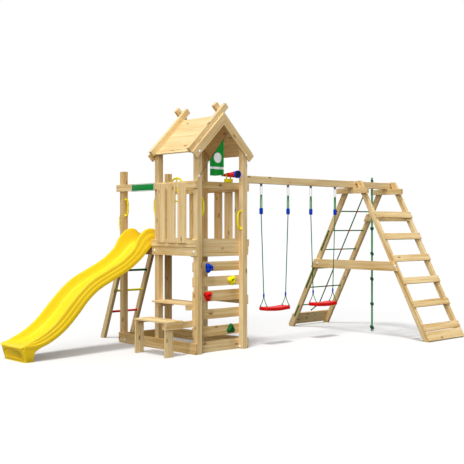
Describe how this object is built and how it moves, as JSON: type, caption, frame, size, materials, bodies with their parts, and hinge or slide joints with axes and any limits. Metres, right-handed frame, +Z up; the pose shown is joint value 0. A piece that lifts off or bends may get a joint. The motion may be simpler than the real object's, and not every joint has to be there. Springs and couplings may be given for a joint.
{
  "type": "play tower with slide",
  "caption": "Wooden play tower with gable roof, wave slide, climbing wall, picnic table, swings on a beam and a climbing frame with net and knotted rope.",
  "frame": {"origin": "middle of the footprint on the ground", "axes": "+X along the swing beam from the tower to the climbing frame, +Y from the climbing wall to the rear ladder, +Z up"},
  "size_m": [5.3438, 3.1608, 2.8619],
  "materials": {
    "pine": "planed and impregnated pine",
    "yellow_plastic": "satin moulded plastic",
    "red_plastic": "satin moulded plastic",
    "blue_plastic": "satin moulded plastic",
    "green_plastic": "satin moulded plastic",
    "white_plastic": "satin moulded plastic",
    "black_plastic": "matt moulded plastic",
    "steel": "zinc plated",
    "green_rope": "braided rope",
    "green_cloth": "woven cloth"
  },
  "bodies": {
    "tower": {"post_front_left": "pine", "post_front_right": "pine", "post_middle_left": "pine", "post_middle_right": "pine", "post_rear_left": "pine", "post_rear_right": "pine", "sandbox_frame": "pine", "deck": "pine", "front_deck_beam": "pine", "front_handrail": "pine", "left_railing": "pine", "right_railing": "pine", "climbing_board_1": "pine", "climbing_board_2": "pine", "climbing_board_3": "pine", "climbing_board_4": "pine", "climbing_board_5": "pine", "right_side_board": "pine", "roof_slope_left": "pine", "roof_slope_right": "pine", "gable_front": "pine", "gable_back": "pine", "picnic_table": "pine", "bench": "pine", "ladder_rail_left": "pine", "ladder_rail_right": "pine", "swing_beam": "pine", "step_ladder": "pine", "net_leg_left": "pine", "net_leg_right": "pine", "head_piece_left": "pine", "head_piece_right": "pine", "cross_bar_left": "pine", "cross_bar_right": "pine", "net_base_board": "pine", "hold_yellow": "yellow_plastic", "slide": "yellow_plastic", "handle_slide_rear": "yellow_plastic", "handle_ladder": "yellow_plastic", "handle_slide_front": "yellow_plastic", "handle_wall_left": "yellow_plastic", "handle_wall_right": "yellow_plastic", "rung_yellow": "yellow_plastic", "hold_red": "red_plastic", "rung_red": "red_plastic", "hold_blue": "blue_plastic", "hold_green": "green_plastic", "rung_green": "green_plastic", "climbing_net": "green_rope", "knotted_rope": "green_rope", "flag": "green_cloth"},
    "swing_1": {"swing_1_rope_left": "green_rope", "swing_1_rope_right": "green_rope", "swing_1_seat": "red_plastic"},
    "swing_2": {"swing_2_rope_left": "green_rope", "swing_2_rope_right": "green_rope", "swing_2_seat": "red_plastic"},
    "steering_wheel": {"steering_wheel": "yellow_plastic"},
    "telescope_base": {"telescope_base": "yellow_plastic"},
    "telescope_tube": {"telescope_tube": "red_plastic"}
  },
  "joints": [
    {"name": "swing_1", "type": "hinge", "parent": "tower", "child": "swing_1", "pos_m": [0.33888, -0.39112, 1.925], "axis": [1, 0, 0], "range_deg": [-50, 50]},
    {"name": "swing_2", "type": "hinge", "parent": "tower", "child": "swing_2", "pos_m": [1.22388, -0.39112, 1.925], "axis": [1, 0, 0], "range_deg": [-50, 50]},
    {"name": "steering_wheel", "type": "hinge", "parent": "tower", "child": "steering_wheel", "pos_m": [-0.23812, 0.79088, 1.9], "axis": [1, 0, 0], "continuous": true},
    {"name": "telescope_pan", "type": "hinge", "parent": "tower", "child": "telescope_base", "pos_m": [-0.37312, -0.33332, 1.945], "axis": [0, 0, 1], "range_deg": [-35, 35]},
    {"name": "telescope_tilt", "type": "hinge", "parent": "telescope_base", "child": "telescope_tube", "pos_m": [-0.37312, -0.33332, 2.034], "axis": [1, 0, 0], "range_deg": [-20, 20]}
  ]
}
